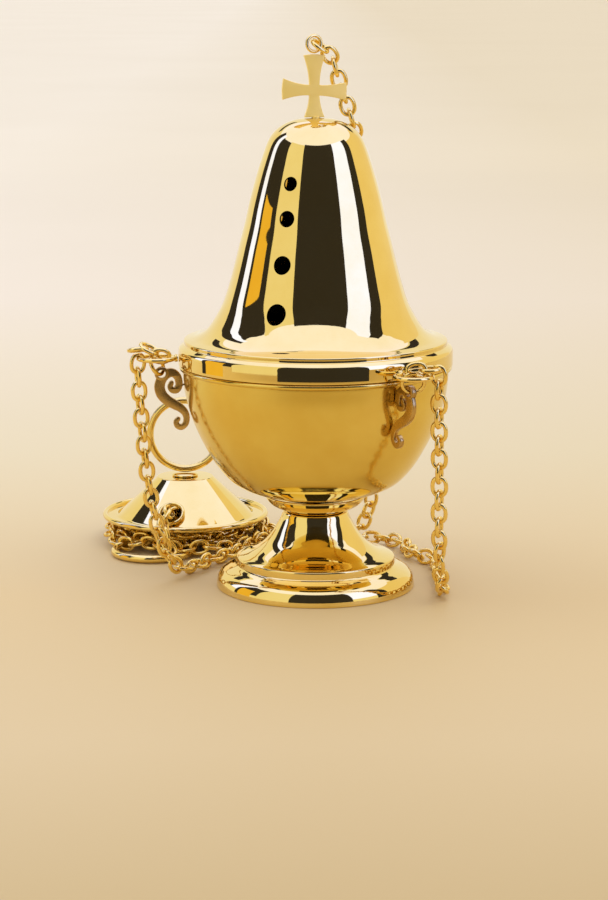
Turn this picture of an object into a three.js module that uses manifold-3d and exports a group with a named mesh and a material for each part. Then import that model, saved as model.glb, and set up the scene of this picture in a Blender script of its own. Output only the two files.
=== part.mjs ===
// A thurible: a footed censer bowl, its sliding bell-shaped lid, the charcoal pan inside, three hanging
// chains with a lift chain, and the conical chain cap with its finger ring and pull ring, all standing or
// lying on one flat surface. Millimetres, +Z up, origin on that surface under the middle of the foot.
// An azimuth is measured round +Z from the front (-Y), positive towards +X.
import * as THREE from 'three';
import { mergeVertices } from 'three/addons/utils/BufferGeometryUtils.js';
import Module from 'manifold-3d';

const wasm = await Module();
wasm.setup();

// ---- driving dimensions -------------------------------------------------------------------------------
const GAP = 0.3; // between pieces that touch
const ROUND = 26; // facets round the large turned pieces

const RIM_RADIUS = 70; // lid skirt, the widest turned size
const BOWL_RIM_RADIUS = 67.9;
const BOWL_RIM_TOP = 122.6;
const BEAD_RADIUS = 69.6;
const SKIRT_BOTTOM = 116.3;
const LEDGE_TOP = 126.2;
const LID_TOP = 240.3;

const FOOT_RADIUS = 51.2;
const FOOT_TOP = 39;
const COLLAR_RADIUS = 26;
const BOLT_RADIUS = 2.4;
const BOLT_HOLE = 2.9;

const BRACKETS = { left: -84.5, right: 35.5, rear: 155.5 }; // azimuths in degrees
const BRACKET_THICKNESS = 2.4;
const EYE = { radius: 78.6, height: 111.8, boss: 3.6, hole: 2.1 };
const JUMP_RING = { radius: 5.35, wire: 1, lean: 25, twist: 30 }; // centre-line radius, wire radius, degrees
const GUIDE_RING = { reach: 81.2, height: 119.7, radius: 9.1, wire: 1.15, shank: 1.6 };

const HOLE_AZIMUTHS = [-24.5, 95.5, 215.5];
const SMOKE_HOLES = [[209.6, 3.5], [192.7, 4], [170.4, 4.55], [146.8, 5.1]]; // height, radius

const CROSS = {
  centre: 254, side: 15.9, top: 17.3, foot: 13.4, waist: 2.6, tip: 4.8, thickness: 2.5, yaw: 10,
};
const CROSS_RING = { radius: 3.95, wire: 0.9 };
const STUD_RADIUS = 1.9;

const CAP = { x: -72, y: 101, brim: 46, cone: 37.6, top: 15.4, low: 13.8, high: 36.5 };
const CAP_SLOPE = Math.PI / 4; // the cone's wall
const CAP_HOLE = { azimuth: -11, reach: 31.7, height: 21, radius: 6 };
const GROMMET = { radius: 6.5, wire: 1 };
const CAP_EYES = { left: 259, right: 79, rear: 169 };
const CAP_EYE = { reach: 22, height: 21.5, radius: 3.2, wire: 0.8 };
const FINGER_RING = { radius: 19.2, wire: 1.95, seat: 7.2, seat_top: 38.3 };

const PULL_RING = { x: -88, y: 65, radius: 20.6, wire: 2.4 };
const PULL_TRAVEL = [-27, -13]; // how far the pull ring is drawn when the lid is up

const CHAIN_CORE = 2.2; // radius of the plain tube that stands for a chain
const CHAIN_STEP = 16;
const HEAP = { inner: 17, outer: 49, low: 0.3, high: 13.2, clear: 23.6 };

// Chain routes, from the bowl or the lid to the heap under the chain cap.
const ROUTES = {
  chain_left_hanging: [
    [-84.6, -8.1, 124.3], [-88, -8.4, 125], [-91.3, -8.6, 124.3], [-93.7, -8.5, 121.8], [-94.3, -8.3, 118],
    [-92.9, -7.9, 112], [-90.6, -7.1, 101], [-88.7, -5.6, 81], [-86.8, -3.6, 60], [-83.8, -1, 40],
    [-79.9, 2.3, 23], [-75.6, 6.8, 11.5],
  ],
  chain_left_lying: [
    [-74.7, 7.8, 10.2], [-72, 11, 5.6], [-68.6, 15.6, 3.7], [-63, 24, 3.6], [-56.6, 36, 3.6],
    [-49.5, 45, 3.6], [-43, 56.4, 3.6],
  ],
  chain_right_hanging: [
    [51.5, -65.6, 124.8], [55, -64.6, 125.2], [58.2, -63.4, 123.6], [59.8, -62.5, 119.4], [59.8, -61.2, 112],
    [60.2, -58.9, 92], [60.7, -56, 68], [61, -52, 44], [62, -45.8, 21], [63.2, -38.6, 9],
  ],
  chain_right_lying: [
    [63.4, -37.6, 8], [64.2, -30, 4], [64.8, -20, 3.6], [64.9, -6, 3.6], [64.9, 12, 3.6], [64.5, 29, 3.6],
    [62, 41, 3.6], [56, 46, 3.6], [51.5, 55, 3.6], [50, 68, 3.6], [45, 80, 3.6], [36.5, 87, 3.6],
    [26, 89, 3.6], [14, 89.6, 3.6], [2, 90, 3.6], [-11, 91.4, 3.6], [-23, 92.8, 3.6],
  ],
  chain_rear_hanging: [
    [35.6, 78.2, 124.2], [36.9, 81, 124.9], [38.2, 83.9, 124.4], [39.2, 86.1, 121.9], [39.6, 87.2, 118],
    [39.3, 88, 108], [38, 89.8, 84], [35.4, 92.2, 55], [31.8, 95, 28], [28.6, 96.8, 13],
  ],
  chain_rear_lying: [
    [27.8, 97.2, 11.2], [23, 98.9, 5.2], [16, 100.2, 3.6], [4, 101.3, 3.6], [-9, 102.4, 3.6],
    [-22.4, 103.2, 3.6],
  ],
  lift_chain_lid: [
    [7.2, 3.4, 272.4], [9.2, 6, 266], [12.2, 8.4, 257], [16, 10.6, 247], [20, 14.6, 236], [21.6, 21.4, 226],
    [19.8, 29, 214], [17, 35.4, 200], [14, 41, 184], [11, 46, 166], [8.4, 51, 150], [6.4, 57.4, 140],
    [4.4, 66, 134.4], [2.8, 74, 129.8], [1.6, 78, 123],
  ],
  lift_chain_hanging: [
    [1.4, 78.4, 121.6], [0.6, 79, 110], [-1.4, 79, 80], [-3, 79.6, 48], [-4.2, 80.4, 22], [-5.2, 81, 10.4],
  ],
  lift_chain_lying: [[-5.5, 81.2, 9], [-8.4, 82, 4.6], [-14, 83, 3.6], [-25.2, 84.6, 3.6]],
  lift_chain_tail: [
    [-78.8, 66.6, 24.9], [-80.4, 62.2, 23], [-81.8, 56.4, 20.6], [-82.4, 51.6, 15.6], [-80.8, 49.9, 10.8],
    [-78, 50.2, 8],
  ],
};

const BRASS = { color: 0xe0b458, roughness: 0.08, metalness: 1 };
const SATIN = { color: 0xd9ab4e, roughness: 0.28, metalness: 1 };
const BRONZE = { color: 0xa5783c, roughness: 0.3, metalness: 1 };
const IRON = { color: 0x55504a, roughness: 0.6, metalness: 0.8 };

// ---- helpers ------------------------------------------------------------------------------------------
const thurible = new THREE.Group();
const radians = THREE.MathUtils.degToRad;

function addPiece(name, geometry, finish, parent = thurible) {
  const mesh = new THREE.Mesh(geometry, new THREE.MeshStandardMaterial(finish));
  mesh.name = name;
  parent.add(mesh);
  return mesh;
}

// A group turned so that its own +X points out along an azimuth.
function atAzimuth(degrees, parent = thurible) {
  const group = new THREE.Group();
  group.rotation.z = radians(degrees - 90);
  parent.add(group);
  return group;
}

// Turns a closed profile of [radius, height] points, listed up the outside and down the inside, about +Z.
function turned(profile, facets = ROUND) {
  const onAxis = profile[0][0] === 0;
  const ring = onAxis ? profile : [...profile, profile[0]];
  const points = ring.map(([radius, height]) => new THREE.Vector2(radius, height));
  return new THREE.LatheGeometry(points, facets).rotateX(Math.PI / 2);
}

// Points of a smooth curve through [radius, height] points.
function smooth(points, count) {
  const curve = new THREE.SplineCurve(points.map(([x, y]) => new THREE.Vector2(x, y)));
  return curve.getPoints(count).map((point) => [point.x, point.y]);
}

function torus(radius, wire, around, across) {
  return new THREE.TorusGeometry(radius, wire, across, around);
}

function solid(geometry) {
  const bare = geometry.clone();
  bare.deleteAttribute('normal');
  bare.deleteAttribute('uv');
  const merged = mergeVertices(bare);
  return new wasm.Manifold(new wasm.Mesh({
    numProp: 3,
    vertProperties: Float32Array.from(merged.attributes.position.array),
    triVerts: Uint32Array.from(merged.index.array),
  }));
}

function surface(body) {
  const { vertProperties, triVerts } = body.getMesh();
  const geometry = new THREE.BufferGeometry();
  geometry.setAttribute('position', new THREE.BufferAttribute(vertProperties, 3));
  geometry.setIndex(new THREE.BufferAttribute(triVerts, 1));
  geometry.computeVertexNormals();
  return geometry;
}

const join = (...pieces) => surface(pieces.map(solid).reduce((whole, piece) => whole.add(piece)));
const cut = (piece, ...tools) =>
  surface(tools.map(solid).reduce((whole, tool) => whole.subtract(tool), solid(piece)));

// ---- foot, collar and bowl ----------------------------------------------------------------------------
function foot() {
  const outside = [
    [47.6, 0], [50.4, 0], [FOOT_RADIUS, 0.9], [FOOT_RADIUS, 2.4], [50, 5.8], [47.4, 8.6], [41.6, 10.9],
    [40.9, 11.8], [40.9, 15.5], [37.6, 16.6], [29.7, 20.2], [23.8, 26.2], [19.4, 32], [16.8, 38],
    [16.6, FOOT_TOP],
  ];
  const inside = [
    [BOLT_HOLE, FOOT_TOP], [BOLT_HOLE, 37.4], [15.4, 37.4], [17.9, 31.4], [22.5, 25.2], [28.8, 18.8],
    [36.8, 15.1], [39.4, 14], [39.4, 10], [45.4, 7.3], [48.4, 5.2], [49.6, 3.4], [49.2, 1.9],
  ];
  addPiece('foot', turned([...outside, ...inside]), BRASS);
  addPiece('foot_base_disc', turned([[0, 0], [47.2, 0], [47.2, 1.1], [0, 1.1]]), BRASS);
}

function collar() {
  const base = FOOT_TOP + GAP;
  addPiece('collar', turned([
    [BOLT_HOLE, base], [14.8, base], [16, 40.2], [19.8, 41.5], [22.9, 43.2], [25, 45.2], [COLLAR_RADIUS, 47.1],
    [25.8, 47.9], [24.6, 47.8], [19, 46.4], [12, 45.9], [BOLT_HOLE, 45.9],
  ]), BRASS);
}

function bowl() {
  const shell = smooth([
    [12, 46.5], [19, 47.2], [27, 48.9], [36, 51.6], [43.5, 55.6], [50.3, 63.5], [56.3, 73.2], [61.3, 83.5],
    [64.7, 93], [67, 103], [BOWL_RIM_RADIUS, 113],
  ], 9);
  const bead = [[69.2, 113.6], [BEAD_RADIUS, 114.7], [69.2, 115.8], [BOWL_RIM_RADIUS, 116]];
  const rim = [[BOWL_RIM_RADIUS, 122], [67.2, BOWL_RIM_TOP], [66.3, 122]];
  const inside = smooth([
    [66.3, 113], [65.4, 103], [63, 93.4], [59.7, 84.2], [54.8, 74.2], [48.9, 64.6], [42.5, 57.2],
    [35.4, 53.2], [26.7, 50.5], [18.8, 48.8], [12, 48.1],
  ], 7);
  const profile = [[BOLT_HOLE, 46.4], ...shell, ...bead, ...rim, ...inside, [BOLT_HOLE, 48.1]];
  addPiece('bowl', turned(profile), SATIN);
}

function centreBolt() {
  addPiece('centre_bolt', turned([
    [0, 31], [BOLT_RADIUS, 31], [BOLT_RADIUS, 48.4], [6.5, 48.4], [6, 50], [3.6, 51.4], [0, 51.8],
  ], 12), BRASS);
  addPiece('foot_washer', turned([[BOLT_HOLE, 36.1], [8, 36.1], [8, 37.1], [BOLT_HOLE, 37.1]], 16), BRASS);
  addPiece('foot_nut', turned([[3.2, 32.4], [5.6, 32.4], [5.6, 35.8], [3.2, 35.8]], 6), BRASS);
}

function charcoalPan() {
  addPiece('charcoal_pan', turned([
    [0, 54.8], [12.8, 54.8], [12.8, 49.2], [14.8, 49.2], [14.8, 55.2], [26, 57.6], [36, 63.4], [43, 72.6],
    [46.6, 84], [47.4, 95.2], [49, 95.8], [49, 97], [46.4, 97.2], [45.3, 84.4], [41.8, 73.4], [35.1, 64.6],
    [25.6, 59], [12, 56.4], [0, 56.2],
  ], 20), IRON);
}

// ---- bracket with its eye, jump ring and guide ring ---------------------------------------------------
// The scroll's centre line: distance out from the axis, height, half the width of the stroke.
const SCROLL = [
  [73.6, 107, 1.2], [74.3, 105, 1.4], [73.2, 103.4, 1.6], [71.2, 103.3, 1.7], [69.9, 105.2, 1.8],
  [69.9, 108, 1.9], [70.8, 110.5, 2], [73.2, 112.2, 2.2], [76.1, 111.6, 2.5], [78.6, 109, 2.6],
  [79.7, 105, 2.7], [78.7, 101.2, 2.7], [76, 98.2, 2.6], [72, 95.7, 2.4], [68.9, 93.8, 2.1],
  [66.7, 91.2, 1.8], [66.1, 88.2, 1.6], [66.8, 85.6, 1.5], [68.8, 84.1, 1.5], [70.8, 84.9, 1.5],
  [71.4, 86.9, 1.4], [70.4, 88.3, 1.2],
];

function scrollOutline() {
  const spine = new THREE.CatmullRomCurve3(SCROLL.map(([x, y, half]) => new THREE.Vector3(x, y, half)));
  const steps = SCROLL.length + 10;
  const outer = [];
  const inner = [];
  for (let i = 0; i <= steps; i += 1) {
    const point = spine.getPoint(i / steps);
    const ahead = spine.getTangent(i / steps);
    const side = new THREE.Vector2(-ahead.y, ahead.x).normalize().multiplyScalar(point.z);
    outer.push(new THREE.Vector2(point.x + side.x, point.y + side.y));
    inner.push(new THREE.Vector2(point.x - side.x, point.y - side.y));
  }
  return new THREE.Shape([...outer, ...inner.reverse()]);
}

// A plate cut from a flat outline of [distance out, height], centred on the radial plane.
function plate(shape, thickness) {
  const options = { depth: thickness, bevelEnabled: false, curveSegments: 8 };
  const geometry = new THREE.ExtrudeGeometry(shape, options);
  return geometry.translate(0, 0, -thickness / 2).rotateX(Math.PI / 2);
}

// A round bar square to the radial plane, at the eye.
function eyeBar(radius, length) {
  return new THREE.CylinderGeometry(radius, radius, length, 16).translate(EYE.radius, 0, EYE.height);
}

function bracket(name, arm) {
  const scroll = plate(scrollOutline(), BRACKET_THICKNESS);
  const boss = eyeBar(EYE.boss, BRACKET_THICKNESS);
  const hole = eyeBar(EYE.hole, 2 * BRACKET_THICKNESS);
  addPiece(name, cut(join(scroll, boss), hole), BRONZE, arm);
}

function jumpRing(name, arm) {
  const hinge = new THREE.Group();
  hinge.position.set(EYE.radius, 0, EYE.height);
  hinge.rotation.y = radians(JUMP_RING.lean);
  arm.add(hinge);
  const ring = torus(JUMP_RING.radius, JUMP_RING.wire, 14, 5).rotateX(Math.PI / 2);
  const mesh = addPiece(name, ring, BRASS, hinge);
  mesh.rotation.z = radians(90 - JUMP_RING.twist);
  mesh.position.z = JUMP_RING.radius;
}

function guideRing(name, arm) {
  const { reach, height, radius, wire, shank } = GUIDE_RING;
  const start = RIM_RADIUS + GAP;
  const bar = new THREE.CylinderGeometry(shank, shank, reach - radius - start, 8).rotateZ(Math.PI / 2);
  bar.translate((start + reach - radius) / 2, 0, height);
  const ring = torus(radius, wire, 18, 6).translate(reach, 0, height);
  addPiece(name, join(ring, bar), BRASS, arm);
}

// ---- lid ----------------------------------------------------------------------------------------------
function lidShell() {
  const band = [
    [RIM_RADIUS, SKIRT_BOTTOM], [RIM_RADIUS, 123.3], [69.4, 125.2], [67.6, LEDGE_TOP], [67, 126.5],
    [67, 128.2],
  ];
  const bell = smooth([
    [65.4, 128.8], [61.5, 129.9], [56, 133], [52.1, 138.1], [49.1, 143.2], [46.7, 148.3], [43.4, 158.6],
    [40.7, 168.7], [38.2, 178.8], [35.6, 188.8], [33.3, 199], [30.6, 209.2], [27.6, 219], [24, 228.8],
    [19.4, 234.8], [13, 238.6], [BOLT_RADIUS, LID_TOP],
  ], 13);
  const lining = smooth([
    [BOLT_RADIUS, 238.7], [12.4, 237.1], [18.2, 233.7], [22.6, 228], [26, 218.5], [29, 208.7], [31.7, 198.5],
    [34, 188.4], [36.6, 178.4], [39.1, 168.3], [41.8, 158.2], [45.1, 147.8], [47.6, 142.3], [50.8, 136.9],
    [55.2, 131.5], [60.9, 128.4], [65.2, 127.1],
  ], 10);
  const skirt = [[65.6, 126.4], [66.4, 124.8], [68.4, 123.4], [68.4, SKIRT_BOTTOM]];
  return turned([...band, ...bell, ...lining, ...skirt]);
}

function lid() {
  const drills = HOLE_AZIMUTHS.flatMap((azimuth) => SMOKE_HOLES.map(([height, radius]) => {
    const drill = new THREE.CylinderGeometry(radius, radius, 45, 10).rotateZ(Math.PI / 2);
    return drill.translate(40, 0, height).rotateZ(radians(azimuth - 90));
  }));
  addPiece('lid', cut(lidShell(), ...drills), BRASS);
}

// Four arms that widen from the waist to the tips, going round from the upper right.
function crossOutline() {
  const { waist, tip, side, top, foot: low } = CROSS;
  const shape = new THREE.Shape();
  shape.moveTo(waist, waist);
  shape.quadraticCurveTo(side * 0.55, waist, side, tip);
  shape.lineTo(side, -tip);
  shape.quadraticCurveTo(side * 0.55, -waist, waist, -waist);
  shape.quadraticCurveTo(waist, -low * 0.6, tip - 0.6, -low);
  shape.lineTo(0.6 - tip, -low);
  shape.quadraticCurveTo(-waist, -low * 0.6, -waist, -waist);
  shape.quadraticCurveTo(-side * 0.55, -waist, -side, -tip);
  shape.lineTo(-side, tip);
  shape.quadraticCurveTo(-side * 0.55, waist, -waist, waist);
  shape.quadraticCurveTo(-waist, top * 0.55, -tip, top);
  shape.lineTo(tip, top);
  shape.quadraticCurveTo(waist, top * 0.55, waist, waist);
  return shape;
}

function cross() {
  const arms = new THREE.ExtrudeGeometry(crossOutline(), {
    depth: CROSS.thickness, bevelEnabled: false, curveSegments: 5,
  });
  arms.translate(0, 0, -CROSS.thickness / 2).rotateX(Math.PI / 2).translate(0, 0, CROSS.centre);
  const low = CROSS.centre - CROSS.foot;
  const stud = new THREE.CylinderGeometry(STUD_RADIUS, STUD_RADIUS, 8, 12).rotateX(Math.PI / 2);
  stud.translate(0, 0, low - 3);
  addPiece('cross', join(arms, stud), SATIN).rotation.z = radians(CROSS.yaw);
  addPiece('cross_nut', turned([[2.6, 234.8], [4.8, 234.8], [4.8, 237.6], [2.6, 237.6]], 6), BRASS);
  const ring = addPiece('cross_ring', torus(CROSS_RING.radius, CROSS_RING.wire, 14, 6), BRASS);
  ring.rotation.set(Math.PI / 2, 0, 0);
  ring.position.z = CROSS.centre + CROSS.top + GAP + CROSS_RING.radius + CROSS_RING.wire;
}

// ---- chain cap, finger ring and pull ring -------------------------------------------------------------
function capShell() {
  const { brim, cone, top, low, high } = CAP;
  return turned([
    [cone - 0.6, low], [brim - 1.4, low], [brim - 0.3, 14.3], [brim, 15.4], [brim - 0.4, 16.5],
    [brim - 1.4, 17], [brim - 2.4, 16.3], [brim - 2.8, 15.1], [cone + 0.6, 15.1], [cone - 0.2, 15.4],
    [top + 0.5, high - 0.6], [top - 0.6, high], [BOLT_HOLE, high], [BOLT_HOLE, high - 1.3],
    [top - 1.2, high - 1.3], [cone - 1.8, low + 0.3],
  ]);
}

function chainCap(group) {
  const { azimuth, reach, height, radius } = CAP_HOLE;
  const drill = new THREE.CylinderGeometry(radius, radius, 8, 14).rotateX(Math.PI / 2).rotateY(CAP_SLOPE);
  drill.translate(reach, 0, height).rotateZ(radians(azimuth - 90));
  addPiece('chain_cap', cut(capShell(), drill), BRASS, group);
  const out = (GROMMET.wire + GAP) * Math.SQRT1_2;
  const rim = torus(GROMMET.radius, GROMMET.wire, 12, 5).rotateY(CAP_SLOPE);
  rim.translate(reach + out, 0, height + out);
  addPiece('grommet', rim, BRASS, atAzimuth(azimuth, group));
}

function capEyes(group) {
  Object.entries(CAP_EYES).forEach(([side, azimuth]) => {
    const ring = torus(CAP_EYE.radius, CAP_EYE.wire, 10, 5).rotateX(Math.PI / 2);
    ring.translate(CAP_EYE.reach, 0, CAP_EYE.height);
    addPiece(`cap_eye_${side}`, ring, BRASS, atAzimuth(azimuth, group));
  });
}

function fingerRing(group) {
  const { radius, wire, seat, seat_top: top } = FINGER_RING;
  const low = CAP.high + GAP;
  addPiece('ring_pedestal', turned([
    [0, 31], [STUD_RADIUS, 31], [STUD_RADIUS, low], [seat, low], [seat, top - 0.6], [seat - 0.8, top],
    [0, top],
  ], 14), BRASS, group);
  addPiece('swivel_nut', turned([[2.6, 32], [4.8, 32], [4.8, 34.8], [2.6, 34.8]], 6), BRASS, group);
  const ring = addPiece('finger_ring', torus(radius, wire, 24, 6), BRASS, group);
  ring.rotation.set(Math.PI / 2, 0, 0);
  ring.position.z = top + GAP + radius + wire;
}

function pullRing() {
  const ring = addPiece('pull_ring', torus(PULL_RING.radius, PULL_RING.wire, 24, 6), BRASS);
  ring.position.set(PULL_RING.x, PULL_RING.y, PULL_RING.wire);
}

// ---- chains -------------------------------------------------------------------------------------------
function chain(name, route) {
  const curve = new THREE.CatmullRomCurve3(route.map((point) => new THREE.Vector3(...point)));
  const section = new THREE.Shape();
  for (let i = 0; i < 8; i += 1) {
    const angle = (i * Math.PI) / 4;
    section[i ? 'lineTo' : 'moveTo'](CHAIN_CORE * Math.cos(angle), CHAIN_CORE * Math.sin(angle));
  }
  const steps = Math.max(Math.round(curve.getLength() / CHAIN_STEP), Math.round(1.5 * route.length));
  const tube = new THREE.ExtrudeGeometry(section, { steps, extrudePath: curve, bevelEnabled: false });
  addPiece(name, tube, BRASS);
}

// The heap of chain under the cap: a flat ring, open at the front left where the pull ring lies.
function chainHeap() {
  const { inner, outer, low, high, clear } = HEAP;
  const ring = turned([[inner, low], [outer, low], [outer, high], [inner, high]], 24);
  ring.translate(CAP.x, CAP.y, 0);
  const path = new THREE.Vector2(...PULL_TRAVEL);
  const bay = new THREE.Shape();
  const heading = path.angle();
  bay.absarc(0, 0, clear, heading + Math.PI / 2, heading + (3 * Math.PI) / 2);
  bay.absarc(path.x, path.y, clear, heading - Math.PI / 2, heading + Math.PI / 2);
  const tool = new THREE.ExtrudeGeometry(bay, { depth: 40, bevelEnabled: false, curveSegments: 10 });
  tool.translate(PULL_RING.x, PULL_RING.y, -10);
  addPiece('chain_heap', cut(ring, tool), BRASS);
}

// ---- the whole thurible -------------------------------------------------------------------------------
foot();
collar();
bowl();
centreBolt();
charcoalPan();
Object.entries(BRACKETS).forEach(([side, azimuth]) => {
  const arm = atAzimuth(azimuth);
  bracket(`bracket_${side}`, arm);
  jumpRing(`jump_ring_${side}`, arm);
  guideRing(`guide_ring_${side}`, arm);
});
lid();
cross();

const capGroup = new THREE.Group();
capGroup.position.set(CAP.x, CAP.y, 0);
thurible.add(capGroup);
chainCap(capGroup);
capEyes(capGroup);
fingerRing(capGroup);
pullRing();
Object.entries(ROUTES).forEach(([name, route]) => chain(name, route));
chainHeap();

export default thurible;
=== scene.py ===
import math
import random

import bmesh
import bpy
import numpy as np
from mathutils import Matrix, Vector


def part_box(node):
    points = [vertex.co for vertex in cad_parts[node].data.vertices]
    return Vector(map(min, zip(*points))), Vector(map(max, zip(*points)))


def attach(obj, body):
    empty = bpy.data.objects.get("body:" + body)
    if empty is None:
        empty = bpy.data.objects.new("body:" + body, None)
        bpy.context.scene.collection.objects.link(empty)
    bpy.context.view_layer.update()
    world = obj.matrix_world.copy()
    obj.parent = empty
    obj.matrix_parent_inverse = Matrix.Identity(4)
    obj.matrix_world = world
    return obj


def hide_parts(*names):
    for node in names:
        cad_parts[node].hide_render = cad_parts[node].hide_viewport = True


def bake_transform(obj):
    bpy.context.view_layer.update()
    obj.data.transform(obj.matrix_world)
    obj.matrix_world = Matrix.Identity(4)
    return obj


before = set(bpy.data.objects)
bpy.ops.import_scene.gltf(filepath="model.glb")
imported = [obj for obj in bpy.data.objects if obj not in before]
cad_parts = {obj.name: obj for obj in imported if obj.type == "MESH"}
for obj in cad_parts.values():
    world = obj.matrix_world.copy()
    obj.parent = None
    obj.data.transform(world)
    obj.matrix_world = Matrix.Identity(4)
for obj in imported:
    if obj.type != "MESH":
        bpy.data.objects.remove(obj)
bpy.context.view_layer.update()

UPRIGHT = Matrix.Rotation(math.pi / 2, 4, "X")
MM = 0.001
AZIMUTHS = {"left": -84.5, "right": 35.5, "rear": 155.5}  # degrees from -Y, positive towards +X
CAP_LOW, CAP_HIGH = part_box("chain_cap")
CAP_X, CAP_Y = (CAP_LOW.x + CAP_HIGH.x) / 2, (CAP_LOW.y + CAP_HIGH.y) / 2
PULL_LOW, PULL_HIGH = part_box("pull_ring")
random.seed(11)


def placed(name, data):
    obj = bpy.data.objects.new(name, data)
    bpy.context.scene.collection.objects.link(obj)
    return obj


# ---- camera -------------------------------------------------------------------------------------------
CAMERA = {"place": (-0.0059, -1.253, 0.3166), "down": 11.1, "lens": 99.4, "sensor": 36}


def make_camera():
    data = bpy.data.cameras.new("camera")
    data.sensor_width = CAMERA["sensor"]
    data.lens = CAMERA["lens"]
    data.clip_end = 100
    camera = placed("camera", data)
    camera.location = CAMERA["place"]
    camera.rotation_euler = (math.radians(90 - CAMERA["down"]), 0, 0)
    bpy.context.scene.camera = camera


# ---- mesh helpers -------------------------------------------------------------------------------------
def make_object(name, verts, faces, smooth=True):
    mesh = bpy.data.meshes.new(name)
    mesh.from_pydata([tuple(v) for v in verts], [], faces)
    mesh.validate()
    mesh.update()
    if smooth:
        mesh.shade_smooth()
    return placed(name, mesh)


def sharpen(obj, degrees=34):
    obj.data.shade_smooth()
    obj.data.set_sharp_from_angle(angle=math.radians(degrees))
    return obj


def shift(x, z):
    """A move along X and Z, in millimetres."""
    return Matrix.Translation((x * MM, 0, z * MM))


def radial(azimuth):
    """Unit vectors out along an azimuth and across it."""
    a = math.radians(azimuth)
    out = np.array([math.sin(a), -math.cos(a), 0.0])
    return out, np.array([-out[1], out[0], 0.0])


def catmull(points, per_span):
    """Centripetal curve through points, sampled per_span times between each two."""
    p = np.asarray(points, float)
    p = np.vstack([2 * p[0] - p[1], p, 2 * p[-1] - p[-2]])
    found = []
    for a, b, c, d in zip(p, p[1:], p[2:], p[3:]):
        t0 = 0.0
        t1 = t0 + max(np.linalg.norm(b - a), 1e-9) ** 0.5
        t2 = t1 + max(np.linalg.norm(c - b), 1e-9) ** 0.5
        t3 = t2 + max(np.linalg.norm(d - c), 1e-9) ** 0.5
        for t in np.linspace(t1, t2, per_span, endpoint=False):
            ab = (t1 - t) / (t1 - t0) * a + (t - t0) / (t1 - t0) * b
            bc = (t2 - t) / (t2 - t1) * b + (t - t1) / (t2 - t1) * c
            cd = (t3 - t) / (t3 - t2) * c + (t - t2) / (t3 - t2) * d
            abc = (t2 - t) / (t2 - t0) * ab + (t - t0) / (t2 - t0) * bc
            bcd = (t3 - t) / (t3 - t1) * bc + (t - t1) / (t3 - t1) * cd
            found.append((t2 - t) / (t2 - t1) * abc + (t - t1) / (t2 - t1) * bcd)
    found.append(p[-2])
    return np.array(found)


def evenly(points, spacing):
    """The same line with points a fixed spacing apart, and its length."""
    steps = np.linalg.norm(np.diff(points, axis=0), axis=1)
    along = np.concatenate([[0], np.cumsum(steps)])
    count = max(2, int(round(along[-1] / spacing)) + 1)
    at = np.linspace(0, along[-1], count)
    return np.stack([np.interp(at, along, points[:, k]) for k in range(3)], 1), along[-1]


# ---- chains -------------------------------------------------------------------------------------------
LINK = {"length": 11.4 * MM, "width": 9 * MM, "wire": 2.15 * MM}
LINK_PLAY = 0.05 * MM
PITCH = LINK["length"] - 2 * LINK["wire"] + LINK_PLAY
CHAIN_LENGTH = 0.6  # each of the three chains and the lift chain, from its upper end to its end in the cap
LOOSE_BELOW = 0.03  # links lower than this lie about more than hanging ones
WOBBLE = {"hanging": 6, "lying": 15}  # degrees


def link_shape(around=22, across=8):
    """One oval wire link, long side along X."""
    half_x = (LINK["length"] - LINK["wire"]) / 2
    half_y = (LINK["width"] - LINK["wire"]) / 2
    turn = np.linspace(0, 2 * math.pi, around, endpoint=False)
    x = half_x * np.sign(np.cos(turn)) * np.abs(np.cos(turn)) ** 0.9
    y = half_y * np.sign(np.sin(turn)) * np.abs(np.sin(turn)) ** 0.82
    centre = np.stack([x, y, 0 * x], 1)
    ahead = np.roll(centre, -1, 0) - np.roll(centre, 1, 0)
    ahead /= np.linalg.norm(ahead, axis=1)[:, None]
    side = np.stack([ahead[:, 1], -ahead[:, 0], 0 * x], 1)
    verts = []
    for c, s in zip(centre, side):
        for k in range(across):
            angle = 2 * math.pi * k / across
            verts.append(c + LINK["wire"] / 2 * (math.cos(angle) * s + math.sin(angle) * np.array([0, 0, 1])))
    faces = []
    for i in range(around):
        j = (i + 1) % around
        for k in range(across):
            m = (k + 1) % across
            faces.append((i * across + k, j * across + k, j * across + m, i * across + m))
    return np.array(verts), faces


LINK_VERTS, LINK_FACES = link_shape()


def link_mesh(name, places):
    """Links as one mesh; each place is a centre and the directions of a link's length and width."""
    verts, faces = [], []
    for centre, x, y in places:
        base = len(verts)
        verts.extend(centre + LINK_VERTS @ np.array([x, y, np.cross(x, y)]))
        faces.extend(tuple(base + k for k in f) for f in LINK_FACES)
    return make_object(name, verts, faces)


def turned_by(x, y, degrees):
    turn = math.radians(degrees)
    return math.cos(turn) * x + math.sin(turn) * y, math.cos(turn) * y - math.sin(turn) * x


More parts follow.
